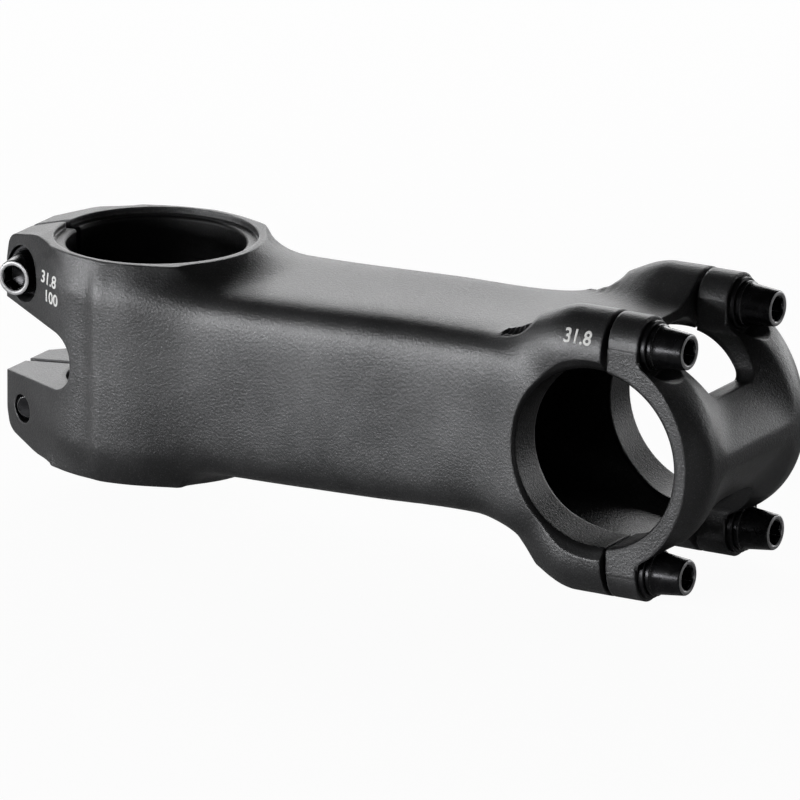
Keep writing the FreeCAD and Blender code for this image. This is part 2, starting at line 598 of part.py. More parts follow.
def main():
    os.makedirs("parts", exist_ok=True)
    for name, shape in make_parts().items():
        shape.exportStep(os.path.join("parts", name + ".step"))
        bounds = shape.BoundBox
        print(f"{name}: solids {len(shape.Solids)}, valid {shape.isValid()}, volume {shape.Volume:.1f}, "
              f"x {bounds.XMin:.1f}..{bounds.XMax:.1f} y {bounds.YMin:.1f}..{bounds.YMax:.1f} "
              f"z {bounds.ZMin:.1f}..{bounds.ZMax:.1f}")


if __name__ == "__main__":
    main()
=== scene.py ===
"""Looks of a bicycle handlebar stem: blasted black alloy body and faceplate, oxide black screws and washers.

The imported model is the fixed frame.  The body and the faceplate keep their own meshes and get a finish; every
screw and washer is replaced by a turned surface with rounded edges, a hexagon socket and a real thread.
"""

import json
import logging
import math
from collections.abc import Iterator
from contextlib import contextmanager
from dataclasses import dataclass, field
from enum import Enum

import bmesh
import bpy
import numpy as np
from mathutils import Matrix, Vector
from mathutils.bvhtree import BVHTree

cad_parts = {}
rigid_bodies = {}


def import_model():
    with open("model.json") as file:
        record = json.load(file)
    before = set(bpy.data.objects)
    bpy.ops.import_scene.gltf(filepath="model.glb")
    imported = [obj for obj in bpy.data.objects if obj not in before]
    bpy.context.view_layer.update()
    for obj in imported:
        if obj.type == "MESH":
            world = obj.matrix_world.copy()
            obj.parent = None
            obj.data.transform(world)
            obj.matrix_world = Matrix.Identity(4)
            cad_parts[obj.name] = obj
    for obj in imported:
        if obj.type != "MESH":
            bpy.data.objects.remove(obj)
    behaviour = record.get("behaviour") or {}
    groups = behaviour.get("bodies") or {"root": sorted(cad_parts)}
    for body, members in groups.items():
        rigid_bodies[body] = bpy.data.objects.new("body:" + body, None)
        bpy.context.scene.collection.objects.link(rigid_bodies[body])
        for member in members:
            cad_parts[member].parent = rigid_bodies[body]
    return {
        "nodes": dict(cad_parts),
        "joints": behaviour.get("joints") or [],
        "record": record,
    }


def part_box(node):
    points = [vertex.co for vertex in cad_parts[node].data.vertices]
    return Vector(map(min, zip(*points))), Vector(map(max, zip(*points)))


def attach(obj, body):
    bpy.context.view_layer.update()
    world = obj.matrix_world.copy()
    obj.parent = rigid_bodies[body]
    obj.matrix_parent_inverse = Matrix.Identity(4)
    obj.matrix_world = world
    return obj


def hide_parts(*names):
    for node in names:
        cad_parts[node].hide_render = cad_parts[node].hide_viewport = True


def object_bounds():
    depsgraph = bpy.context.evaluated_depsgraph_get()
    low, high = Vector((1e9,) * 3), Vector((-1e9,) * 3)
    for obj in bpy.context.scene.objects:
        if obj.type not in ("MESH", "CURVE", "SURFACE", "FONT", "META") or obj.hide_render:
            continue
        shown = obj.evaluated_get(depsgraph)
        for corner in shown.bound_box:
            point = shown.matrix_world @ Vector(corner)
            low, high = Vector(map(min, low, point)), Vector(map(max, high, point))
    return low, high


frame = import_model()

LOG = logging.getLogger("stem")
MM = 0.001
Colour = tuple[float, float, float, float]
WHITE: Colour = (1.0, 1.0, 1.0, 1.0)


def whole_box() -> list[list[float]]:
    """The whole object's box as plain lists of numbers."""
    low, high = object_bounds()
    return [[float(v) for v in low], [float(v) for v in high]]


CAD_BOX = whole_box()


# ---- meshes ------------------------------------------------------------------------------------
def link_object(name: str, data: bpy.types.ID) -> bpy.types.Object:
    """Put an object in the scene, at the origin.

    Args:
        name: Object name.
        data: Its mesh, curve, lamp or camera.

    Returns:
        The new object.
    """
    piece = bpy.data.objects.new(name, data)
    bpy.context.scene.collection.objects.link(piece)
    return piece


def mesh_object(name: str, points: np.ndarray, faces: list,
                sharp_degrees: float = 32.0) -> bpy.types.Object:
    """Make a smooth-shaded object from points and faces, with hard edges past an angle.

    Args:
        name: Piece name.
        points: Array of shape (n, 3), in metres.
        faces: Lists of point numbers, wound outwards.
        sharp_degrees: Edges that fold by more than this stay hard.

    Returns:
        The new object, linked to the scene, at the origin.
    """
    mesh = bpy.data.meshes.new(name)
    mesh.from_pydata(points.tolist(), [], faces)
    mesh.update()
    mesh.polygons.foreach_set("use_smooth", np.ones(len(mesh.polygons), bool))
    mesh.set_sharp_from_angle(angle=math.radians(sharp_degrees))
    return link_object(name, mesh)


@contextmanager
def edited(mesh: bpy.types.Mesh) -> Iterator[bmesh.types.BMesh]:
    """Open a mesh for editing, and write it back at the end."""
    work = bmesh.new()
    work.from_mesh(mesh)
    yield work
    work.to_mesh(mesh)
    work.free()


def outwards(piece: bpy.types.Object) -> None:
    """Point every face of a closed piece outwards."""
    with edited(piece.data) as work:
        bmesh.ops.recalc_face_normals(work, faces=work.faces)
        if work.calc_volume(signed=True) < 0:
            bmesh.ops.reverse_faces(work, faces=work.faces)


def drop_loose_points(piece: bpy.types.Object) -> None:
    """Remove the points that no face uses."""
    with edited(piece.data) as work:
        loose = [point for point in work.verts if not point.link_faces]
        bmesh.ops.delete(work, geom=loose, context="VERTS")


def node_surface(name: str) -> BVHTree:
    """Search tree of a node's mesh."""
    mesh = frame["nodes"][name].data
    points = [vertex.co.copy() for vertex in mesh.vertices]
    return BVHTree.FromPolygons(points, [list(face.vertices) for face in mesh.polygons])


def axes_for(direction: Vector) -> np.ndarray:
    """Rows: the direction and two unit vectors square to it, right-handed."""
    along = np.array(direction.normalized())
    nearly_upright = abs(along[2]) >= 0.9
    helper = np.array([1.0, 0.0, 0.0]) if nearly_upright else np.array([0.0, 0.0, 1.0])
    across = np.cross(helper, along)
    across /= np.linalg.norm(across)
    return np.array([along, across, np.cross(along, across)])


def full_turn(count: int) -> np.ndarray:
    """Angles of a full turn in equal steps, in radians."""
    return np.linspace(0, 2 * math.pi, count, endpoint=False)


def revolve_rows(along: np.ndarray, radius: np.ndarray, angles: np.ndarray) -> np.ndarray:
    """Points (along, radius * cos angle, radius * sin angle) on a grid of rows by angles.

    Args:
        along: Shape (rows, 1) or (rows, angles), distance along the axis.
        radius: Same shape, distance from the axis.
        angles: Shape (angles,), in radians.

    Returns:
        Array of shape (rows, angles, 3).
    """
    along, radius, turned = np.broadcast_arrays(along, radius, angles[None, :])
    return np.stack([along, radius * np.cos(turned), radius * np.sin(turned)], axis=-1)


def ring_faces(rows: int, count: int, closed_rows: bool = False) -> list:
    """Quads of a grid that wraps round its second direction.

    Args:
        rows: Rows of points.
        count: Points in a row.
        closed_rows: Whether the last row joins the first.

    Returns:
        Lists of four point numbers, row by row.
    """
    last = rows if closed_rows else rows - 1
    i, j = np.meshgrid(np.arange(last), np.arange(count), indexing="ij")
    after, beside = (i + 1) % rows, (j + 1) % count
    corners = [i * count + j, i * count + beside, after * count + beside, after * count + j]
    return np.stack(corners, -1).reshape(-1, 4).tolist()


def round_corner(corner: tuple, before: tuple, after: tuple, reach: float, steps: int = 4) -> list:
    """Points of the curve that rounds a corner between two straight runs.

    The curve starts and ends at the reach from the corner; in between, each point is the quadratic blend
    (1-t)^2 start + 2t(1-t) corner + t^2 end, which stays inside the corner.

    Args:
        corner: The corner.
        before: A point on the run that comes in.
        after: A point on the run that goes out.
        reach: Distance from the corner to the curve's two ends.
        steps: Straight steps along the curve.

    Returns:
        One more point than there are steps.
    """
    start_way = np.subtract(before, corner)
    end_way = np.subtract(after, corner)
    start = np.array(corner) + start_way / np.linalg.norm(start_way) * reach
    end = np.array(corner) + end_way / np.linalg.norm(end_way) * reach
    middle = np.array(corner)
    return [tuple((1 - t) ** 2 * start + 2 * t * (1 - t) * middle + t ** 2 * end)
            for t in np.linspace(0.0, 1.0, steps + 1)]


# ---- shader nodes ------------------------------------------------------------------------------
class Graph:
    """Short way to add nodes and links to one node tree."""

    def __init__(self, tree: bpy.types.NodeTree) -> None:
        """Keep the tree."""
        self.tree = tree

    def feed(self, node: bpy.types.Node, inputs: dict) -> bpy.types.Node:
        """Set or link a node's inputs.

        Args:
            node: The node.
            inputs: Socket name or number to a constant or to the socket that feeds it.

        Returns:
            The node.
        """
        for key, value in inputs.items():
            if isinstance(value, bpy.types.NodeSocket):
                self.tree.links.new(value, node.inputs[key])
            else:
                node.inputs[key].default_value = value
        return node

    def add(self, kind: str, inputs: dict | None = None, **settings) -> bpy.types.Node:
        """Add a node.

        Args:
            kind: Node type name without its ShaderNode prefix.
            inputs: Socket name or number to a constant or to the socket that feeds it.
            **settings: Node properties.

        Returns:
            The node.
        """
        node = self.tree.nodes.new(kind if kind.startswith("NodeGroup") else "ShaderNode" + kind)
        for name, value in settings.items():
            setattr(node, name, value)
        return self.feed(node, inputs or {})

    def use(self, group: bpy.types.NodeTree, **inputs) -> bpy.types.bpy_prop_collection:
        """Place a node group with its own values, and give its outputs."""
        node = self.tree.nodes.new("ShaderNodeGroup")
        node.node_tree = group
        return self.feed(node, inputs).outputs

    def math(self, operation: str, a, b=0.0, clamp: bool = False) -> bpy.types.NodeSocket:
        """Result of a Math node on two values or sockets."""
        return self.add("Math", {0: a, 1: b}, operation=operation, use_clamp=clamp).outputs[0]

    def span(self, value, source: tuple, target: tuple = (0.0, 1.0)) -> bpy.types.NodeSocket:
        """Map a value from one range to another, clamped."""
        inputs = {"Value": value, "From Min": source[0], "From Max": source[1],
                  "To Min": target[0], "To Max": target[1]}
        return self.add("MapRange", inputs).outputs["Result"]

    def noise(self, where, scale, detail: float = 2.0, rough: float = 0.5,
              distortion: float = 0.0) -> bpy.types.NodeSocket:
        """Value of a noise texture, about 0 to 1."""
        inputs = {"Vector": where, "Scale": scale, "Detail": detail, "Roughness": rough,
                  "Distortion": distortion}
        return self.add("TexNoise", inputs).outputs["Fac"]

    def blend(self, factor, a, b) -> bpy.types.NodeSocket:
        """Mix of two colours."""
        inputs = {"Factor": factor, "A": a, "B": b}
        return self.add("Mix", inputs, data_type="RGBA").outputs["Result"]

    def length(self, a, b) -> bpy.types.NodeSocket:
        """Square root of a * a + b * b."""
        squares = [self.math("MULTIPLY", side, side) for side in (a, b)]
        return self.math("SQRT", self.math("ADD", *squares))

    def bump(self, height, distance: float, strength: float, normal=None) -> bpy.types.NodeSocket:
        """Normal of a bumped surface, over another normal when there is one."""
        inputs = {"Height": height, "Distance": distance, "Strength": strength}
        if normal is not None:
            inputs["Normal"] = normal
        return self.add("Bump", inputs).outputs["Normal"]

    def object_place(self) -> bpy.types.NodeSocket:
        """Object coordinates, in metres."""
        return self.add("TexCoord").outputs["Object"]


def new_group(name: str, takes: dict[str, float], gives: dict[str, str]) -> tuple:
    """Start a node group with named sockets.

    Args:
        name: Group name.
        takes: Name of each input, with its default.
        gives: Name of each output, with its socket type.

    Returns:
        The group tree, its Graph, its input sockets by name and its output node's sockets by name.
    """
    tree = bpy.data.node_groups.new(name, "ShaderNodeTree")
    for label, default in takes.items():
        socket = tree.interface.new_socket(label, in_out="INPUT", socket_type="NodeSocketFloat")
        socket.default_value = default
    for label, kind in gives.items():
        tree.interface.new_socket(label, in_out="OUTPUT", socket_type="NodeSocket" + kind)
    graph = Graph(tree)
    return tree, graph, graph.add("NodeGroupInput").outputs, graph.add("NodeGroupOutput").inputs


def blast_grain_group() -> bpy.types.NodeTree:
    """Fine pits of a bead-blasted surface: Height, and a Speck mask for the shiny grains."""
    pit_scale, grain_share, pit_share = 0.45, 0.7, 0.45
    speck_range = (0.56, 0.74)
    tree, graph, taken, given = new_group("blast_grain", {"Scale": 4000.0},
                                          {"Height": "Float", "Speck": "Float"})
    where = graph.object_place()
    fine = graph.noise(where, taken["Scale"], detail=3.0, rough=0.65)
    coarse = graph.math("MULTIPLY", taken["Scale"], pit_scale)
    pits = graph.add("TexVoronoi", {"Vector": where, "Scale": coarse}).outputs["Distance"]
    height = graph.math("ADD", graph.math("MULTIPLY", fine, grain_share),
                        graph.math("MULTIPLY", pits, pit_share))
    tree.links.new(height, given["Height"])
    tree.links.new(graph.span(fine, speck_range), given["Speck"])
    return tree


def edge_wear_and_highlight_group() -> bpy.types.NodeTree:
    """Rounded-edge Normal, and an Edge mask that is 1 where two faces meet at a sharp edge, broken into
    patches: edge wear, and on the steel also a painted highlight.
    """
    bend_range, patch_range, patch_cover = (0.01, 0.16), (0.38, 0.62), (0.25, 1.0)
    tree, graph, taken, given = new_group("edge_wear_and_highlight", {"Radius": 0.0004, "Breakup": 600.0},
                                          {"Normal": "Vector", "Edge": "Float"})
    rounded = graph.add("Bevel", {"Radius": taken["Radius"]}, samples=6).outputs["Normal"]
    true_normal = graph.add("NewGeometry").outputs["Normal"]
    facing = graph.add("VectorMath", {0: rounded, 1: true_normal}, operation="DOT_PRODUCT")
    edge = graph.span(graph.math("SUBTRACT", 1.0, facing.outputs["Value"]), bend_range)
    patches = graph.noise(graph.object_place(), taken["Breakup"], detail=3.0)
    pale_edge = graph.math("MULTIPLY", edge, graph.span(patches, patch_range, patch_cover))
    tree.links.new(rounded, given["Normal"])
    tree.links.new(pale_edge, given["Edge"])
    return tree


def handling_group() -> bpy.types.NodeTree:
    """Slow uneven Tone of a handled, coated surface, from about 0 to 1."""
    tone_range = (0.3, 0.7)
    tree, graph, taken, given = new_group("handling", {"Scale": 40.0}, {"Tone": "Float"})
    slow = graph.noise(graph.object_place(), taken["Scale"], detail=4.0, rough=0.55,
                       distortion=0.4)
    tree.links.new(graph.span(slow, tone_range), given["Tone"])
    return tree


def painted_bore_shade_group() -> bpy.types.NodeTree:
    """Mask of painted shade, 1 on the walls of the two clamp bores: near the bar's or the steerer's axis."""
    fade = (-0.0002, 0.0003)
    tree, graph, taken, given = new_group("bore_shade_mask", {"Bar Reach": 0.1, "Radius": 0.0166},
                                          {"Bore": "Float"})
    where = graph.add("SeparateXYZ", {"Vector": graph.object_place()}).outputs
    forward = graph.math("SUBTRACT", where["X"], taken["Bar Reach"])
    nearest = graph.math("MINIMUM", graph.length(forward, where["Z"]),
                         graph.length(where["X"], where["Y"]))
    depth = graph.math("SUBTRACT", taken["Radius"], nearest)
    tree.links.new(graph.span(depth, fade), given["Bore"])
    return tree


class Effects:
    """Node groups that more than one finish uses, each built once."""

    def __init__(self) -> None:
        """Build the groups."""
        self.grain = blast_grain_group()
        self.edges = edge_wear_and_highlight_group()
        self.handling = handling_group()
        self.bore_shade_mask = painted_bore_shade_group()


# ---- finishes ----------------------------------------------------------------------------------
def new_material(name: str) -> tuple:
    """Start a material.

    Args:
        name: Material name.

    Returns:
        The material, its Graph and its output's surface socket.
    """
    material = bpy.data.materials.new(name)
    material.use_nodes = True
    material.node_tree.nodes.clear()
    graph = Graph(material.node_tree)
    return material, graph, graph.add("OutputMaterial").inputs["Surface"]


@dataclass(frozen=True)
class CoatedAlloy:
    """Bead-blasted and black anodised aluminium, with painted shade that darkens the walls of the two bores."""

    name: str = "coated_alloy_looks"
    dark: Colour = (0.044, 0.0445, 0.046, 1.0)
    light: Colour = (0.170, 0.171, 0.175, 1.0)
    # pale colour of worn edges
    pale_edge: Colour = (0.30, 0.30, 0.31, 1.0)
    # painted shade on the walls of the two bores, near black
    painted_bore_shade: Colour = (0.018, 0.018, 0.019, 1.0)
    metallic: float = 0.72
    specular: float = 0.5
    roughness: tuple[float, float] = (0.36, 0.44)
    grain_scale: float = 4600.0
    grain_depth: float = 0.000065
    speck_share: float = 0.8
    tone_scale: float = 38.0
    tone_share: float = 0.45
    edge_radius: float = 0.0006
    edge_breakup: float = 500.0
    edge_share: float = 0.5
    painted_bore_shade_share: float = 0.8

    def make(self, effects: Effects) -> bpy.types.Material:
        """Build the material from the shared effects."""
        material, graph, surface = new_material(self.name)
        grain = graph.use(effects.grain, Scale=self.grain_scale)
        edges = graph.use(effects.edges, Radius=self.edge_radius, Breakup=self.edge_breakup)
        tone = graph.use(effects.handling, Scale=self.tone_scale)["Tone"]
        bore_shade_mask = graph.use(effects.bore_shade_mask)["Bore"]
        shade = graph.math("ADD", graph.math("MULTIPLY", tone, self.tone_share),
                           graph.math("MULTIPLY", grain["Speck"], self.speck_share), clamp=True)
        colour = graph.blend(shade, self.dark, self.light)
        colour = graph.blend(graph.math("MULTIPLY", edges["Edge"], self.edge_share), colour, self.pale_edge)
        # painted shade: the bore walls blend towards near black
        colour = graph.blend(graph.math("MULTIPLY", bore_shade_mask, self.painted_bore_shade_share), colour, self.painted_bore_shade)
        normal = graph.bump(grain["Height"], self.grain_depth, 1.0, edges["Normal"])
        shader = graph.add("BsdfPrincipled", {
            "Base Color": colour, "Roughness": graph.span(tone, (0.0, 1.0), self.roughness),
            "Normal": normal, "Metallic": self.metallic, "Specular IOR Level": self.specular})
        graph.tree.links.new(shader.outputs[0], surface)
        return material


@dataclass(frozen=True)
class OxideSteel:
    """Black oxide steel of a screw or a washer, glossy, with pale edges that are partly bare steel wear and
    partly a painted highlight.
    """

    name: str
    colour: Colour = (0.022, 0.022, 0.024, 1.0)
    smudge: Colour = (0.045, 0.045, 0.048, 1.0)
    # pale edge colour, near white: bare steel wear and a painted highlight
    pale_edge: Colour = (0.75, 0.75, 0.76, 1.0)
    metallic: float = 0.85
    pale_edge_metallic: float = 0.25
    specular: float = 0.6
    roughness: tuple[float, float] = (0.20, 0.34)
    grain_scale: float = 7000.0
    grain_depth: float = 0.000006
    grain_strength: float = 0.6
    tone_scale: float = 420.0
    edge_radius: float = 0.00016
    edge_breakup: float = 1800.0
    wear_and_highlight: float = 1.0

    def make(self, effects: Effects) -> bpy.types.Material:
        """Build the material from the shared effects."""
        material, graph, surface = new_material(self.name)
        edges = graph.use(effects.edges, Radius=self.edge_radius, Breakup=self.edge_breakup)
        tone = graph.use(effects.handling, Scale=self.tone_scale)["Tone"]
        grain = graph.use(effects.grain, Scale=self.grain_scale)
        colour = graph.blend(tone, self.colour, self.smudge)
        # painted highlight and bare steel wear: sharp edges turn pale and less metallic, so that they show
        # bright
        colour = graph.blend(graph.math("MULTIPLY", edges["Edge"], self.wear_and_highlight), colour, self.pale_edge)
        metallic = graph.span(edges["Edge"], (0.0, 0.5), (self.metallic, self.pale_edge_metallic))
        normal = graph.bump(grain["Height"], self.grain_depth, self.grain_strength, edges["Normal"])
        shader = graph.add("BsdfPrincipled", {
            "Base Color": colour, "Roughness": graph.span(tone, (0.0, 1.0), self.roughness),
            "Normal": normal, "Metallic": metallic, "Specular IOR Level": self.specular})
        graph.tree.links.new(shader.outputs[0], surface)
        return material


@dataclass(frozen=True)
class WhitePrint:
    """Thin white ink with a slightly uneven cover."""

    name: str = "white_print_looks"
    full: Colour = (0.86, 0.86, 0.85, 1.0)
    thin: Colour = (0.66, 0.66, 0.66, 1.0)
    roughness: tuple[float, float] = (0.45, 0.62)
    height_range: tuple[float, float] = (0.3, 0.9)
    grain_scale: float = 6500.0
    grain_depth: float = 0.00001
    grain_strength: float = 0.5

    def make(self, effects: Effects) -> bpy.types.Material:
        """Build the material from the shared effects."""
        material, graph, surface = new_material(self.name)
        grain = graph.use(effects.grain, Scale=self.grain_scale)
        shader = graph.add("BsdfPrincipled", {
            "Base Color": graph.blend(grain["Speck"], self.full, self.thin),
            "Roughness": graph.span(grain["Height"], self.height_range, self.roughness),
            "Normal": graph.bump(grain["Height"], self.grain_depth, self.grain_strength)})
        graph.tree.links.new(shader.outputs[0], surface)
        return material


class Finish(Enum):
    """Finishes of the pieces, each with the recipe of its material."""

    ALLOY = CoatedAlloy()
    TAPPED = CoatedAlloy(name="tapped_alloy_looks", grain_depth=0.00004, edge_radius=0.00005)
    STEEL = OxideSteel("black_steel_looks")
    # pale ring round the socket: bare steel wear and a painted highlight
    RIM = OxideSteel("worn_and_highlight_rim_looks", colour=(0.62, 0.62, 0.63, 1.0),
                     smudge=(0.36, 0.36, 0.37, 1.0), metallic=0.25, roughness=(0.28, 0.45))
    WASHER = OxideSteel("black_washer_looks", colour=(0.030, 0.030, 0.032, 1.0),
                        roughness=(0.28, 0.42), edge_radius=0.0001, wear_and_highlight=0.4)
    PRINT = WhitePrint()


Finishes = dict[Finish, bpy.types.Material]


def make_finishes(effects: Effects) -> Finishes:
    """One material for each finish."""
    return {finish: finish.value.make(effects) for finish in Finish}


def dress(piece: bpy.types.Object, *materials: bpy.types.Material) -> None:
    """Give a piece its materials, in place of those it has."""
    piece.data.materials.clear()
    for material in materials:
        piece.data.materials.append(material)


# ---- screws and washers ------------------------------------------------------------------------
class Place(Enum):
    """Where a screw sits."""

    FACEPLATE = "faceplate"
    STEERER = "steerer"


@dataclass(frozen=True)
class Site:
    """One screw's place: its nodes, its bodies, its seat point and the way its head points."""

    screw_node: str
    washer_node: str
    screw_body: str
    washer_body: str
    seat: Vector
    direction: Vector
    place: Place

    @property
    def label(self) -> str:
        """The end of the names of the pieces at this site."""
        return self.screw_body.removeprefix("bolt_")

    def points(self, grid: np.ndarray) -> np.ndarray:
        """Turn points from millimetres along the screw's own axis to the frame, in metres."""
        return grid.reshape(-1, 3) @ axes_for(self.direction) * MM + np.array(self.seat)


def screw_sites() -> list[Site]:
    """Every screw's place, read from the joints that turn them."""
    bodies = frame["record"]["behaviour"]["bodies"]
    sites = []
    for joint in frame["joints"]:
        if joint["type"] != "hinge":
            continue
        screw_node = bodies[joint["child"]][0]
        place = Place(screw_node.split("_")[0])
        sites.append(Site(screw_node, screw_node.replace("bolt", "washer"), joint["child"],
                          joint["parent"], Vector(joint["pos_m"]), Vector(joint["axis"]), place))
    return sites


@dataclass(frozen=True)
class Thread:
    """Cut thread: a helix whose groove is a triangle wave with its ends cut flat, in millimetres."""

    depth: float
    steepness: float
    flat: float
    pitch: float = 0.8
    rows_per_turn: int = 10

    def wave(self, along: np.ndarray, angles: np.ndarray) -> np.ndarray:
        """Steepness * (1 - |2 f - 1|) - flat, held in 0 to 1, with f the part turn at each point."""
        phase = along / self.pitch - angles[None, :] / (2 * math.pi)
        return np.clip(self.steepness * (1 - np.abs(2 * (phase % 1.0) - 1)) - self.flat, 0.0, 1.0)


@dataclass
class Screw:
    """Tapered-head screw with a hexagon socket and a cut thread, sizes in millimetres."""

    site: Site
    washer_thickness: float = 1.1
    flange: float = 0.9
    foot_radius: float = 4.1
    end_radius: float = 3.15
    taper_foot: tuple[float, float] = (0.55, 0.42)
    taper_step: float = 0.25
    head_rounds: tuple[float, ...] = (0.42, 0.35, 0.12, 0.22, 0.15)
    neck_radius: float = 2.42
    thread_radius: float = 2.5
    thread: Thread = Thread(depth=0.46, steepness=1.25, flat=0.12)
    thread_start: float = 0.8
    plain_neck: float = 1.6
    tip: float = 0.7
    row_overlaps: tuple[float, float] = (0.05, 0.02)
    socket_flats: float = 4.0
    socket_depth: float = 3.2
    socket_point: float = 0.05
    socket_floor: tuple[tuple[float, float], ...] = ((0.0, 0.35), (0.16, 0.8), (0.3, 1.0))
    socket_walls: tuple[float, float] = (1.5, 0.42)
    mouth_margin: float = 0.12
    mouth_steps: tuple[tuple[float, float], ...] = ((0.34, 0.30), (0.17, 0.14), (0.03, 0.0))
    mouth_flat: float = 0.05
    rim_rows: tuple[int, int] = (6, 11)
    angles: int = 60
    spans: tuple[float, float] = field(init=False)

    def __post_init__(self) -> None:
        """Read how far the screw reaches each way from its seat."""
        low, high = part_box(self.site.screw_node)
        seat, direction = self.site.seat, self.site.direction
        ends = sorted(((corner - seat).dot(direction) / MM) for corner in (low, high))
        self.spans = (ends[0], ends[1])

    def hexagon(self, angles: np.ndarray) -> np.ndarray:
        """Distance to the socket's wall: half the flats over the cosine of the angle to a flat."""
        to_flat = (angles + math.pi / 6) % (math.pi / 3) - math.pi / 6
        return self.socket_flats / 2 / np.cos(to_flat)

    def socket_rows(self, angles: np.ndarray) -> list[tuple[float, np.ndarray]]:
        """Rows (along, radius) from the socket's floor up its hexagon wall to its round mouth."""
        end, wall = self.spans[1], self.hexagon(angles)
        mouth = self.socket_flats / math.sqrt(3) + self.mouth_margin
        floor = end - self.socket_depth
        rows = [(floor + rise, share * wall) for rise, share in self.socket_floor]
        rows += [(end - down, wall) for down in self.socket_walls]
        rows += [(end - down, np.maximum(wall, mouth - inset)) for down, inset in self.mouth_steps]
        return rows + [(end, np.full_like(wall, mouth + self.mouth_flat))]

    def head_rows(self, angles: np.ndarray) -> tuple[np.ndarray, np.ndarray]:
        """Rows of the socket, the end face, the taper and the flange, to the head's underside."""
        rows = self.socket_rows(angles)
        end, base = self.spans[1], self.washer_thickness
        shoulder, foot = base + self.flange, self.foot_radius
        rise, inset = self.taper_foot
        line = [(end, rows[-1][1][0]), (end, self.end_radius), (shoulder + rise, foot - inset),
                (shoulder, foot - self.taper_step), (shoulder, foot), (base, foot),
                (base, self.neck_radius)]
        for before, corner, after, reach in zip(line, line[1:], line[2:], self.head_rounds):
            for along, radius in round_corner(corner, before, after, reach):
                rows.append((along, np.full_like(angles, radius)))
        along = np.array([[row[0]] * len(angles) for row in rows])
        return along, np.array([row[1] for row in rows])

    def shank_rows(self, angles: np.ndarray) -> tuple[np.ndarray, np.ndarray]:
        """Rows of the shank: full radius less the thread's groove, inside the cone of the tip."""
        start, end = self.washer_thickness, self.spans[0]
        count = int((start - end) / self.thread.pitch * self.thread.rows_per_turn)
        first, last = start - self.row_overlaps[0], end + self.row_overlaps[1]
        along = np.linspace(first, last, count)[:, None]
        from_neck = np.clip((start - self.plain_neck - along) / self.thread_start, 0.0, 1.0)
        from_tip = np.clip((along - end) / self.tip, 0.0, 1.0)
        full = self.neck_radius + (self.thread_radius - self.neck_radius) * from_neck
        radius = full - self.thread.depth * self.thread.wave(along, angles) * from_neck
        radius = np.minimum(radius, self.thread_radius - self.tip * (1 - from_tip))
        return np.broadcast_to(along, radius.shape), radius

    def surface(self) -> tuple[np.ndarray, list]:
        """Points and faces of the whole screw, closed at the socket's floor and at the tip."""
        angles = full_turn(self.angles)
        along, radius = (np.concatenate(parts) for parts in
                         zip(self.head_rows(angles), self.shank_rows(angles)))
        grid = revolve_rows(along, radius, angles)
        rows, count = grid.shape[:2]
        poles = [[self.spans[1] - self.socket_depth - self.socket_point, 0, 0],
                 [self.spans[0], 0, 0]]
        faces = [quad[::-1] for quad in ring_faces(rows, count)]
        first, last, foot = rows * count, rows * count + 1, (rows - 1) * count
        for j in range(count):
            beside = (j + 1) % count
            faces.append([first, j, beside])
            faces.append([last, foot + beside, foot + j])
        return self.site.points(np.concatenate([grid.reshape(-1, 3), poles])), faces

    def build(self, finishes: Finishes) -> bpy.types.Object:
        """Make the piece, with a pale rim round the socket, partly bare steel wear and partly a painted
        highlight, and let it stand for its node.
        """
        piece = mesh_object("screw_" + self.site.label, *self.surface())
        outwards(piece)
        dress(piece, finishes[Finish.STEEL], finishes[Finish.RIM])
        # faces of the pale rim round the socket: bare steel wear and a painted highlight
        first, last = (row * self.angles for row in self.rim_rows)
        for face in piece.data.polygons[first:last]:
            face.material_index = 1
        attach(piece, self.site.screw_body)
        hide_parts(self.site.screw_node)
        return piece


@dataclass
class Washer:
    """Flat ring with rounded edges, sizes in millimetres."""

    site: Site
    thickness: float = 1.1
    outer: float = 4.6
    inner: float = 2.58
    edge: float = 0.22
    angles: int = 72

    def build(self, finishes: Finishes) -> bpy.types.Object:
        """Make the piece: a rounded rectangle carried round the axis."""
        corners = [(0.0, self.inner), (self.thickness, self.inner), (self.thickness, self.outer),
                   (0.0, self.outer)]
        section = []
        for k, corner in enumerate(corners):
            section += round_corner(corner, corners[k - 1], corners[(k + 1) % 4], self.edge)
        profile = np.array(section)
        grid = revolve_rows(profile[:, :1], profile[:, 1:], full_turn(self.angles))
        faces = ring_faces(grid.shape[0], self.angles, closed_rows=True)
        piece = mesh_object("ring_" + self.site.label, self.site.points(grid), faces)
        outwards(piece)
        dress(piece, finishes[Finish.WASHER])
        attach(piece, self.site.washer_body)
        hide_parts(self.site.washer_node)
        return piece


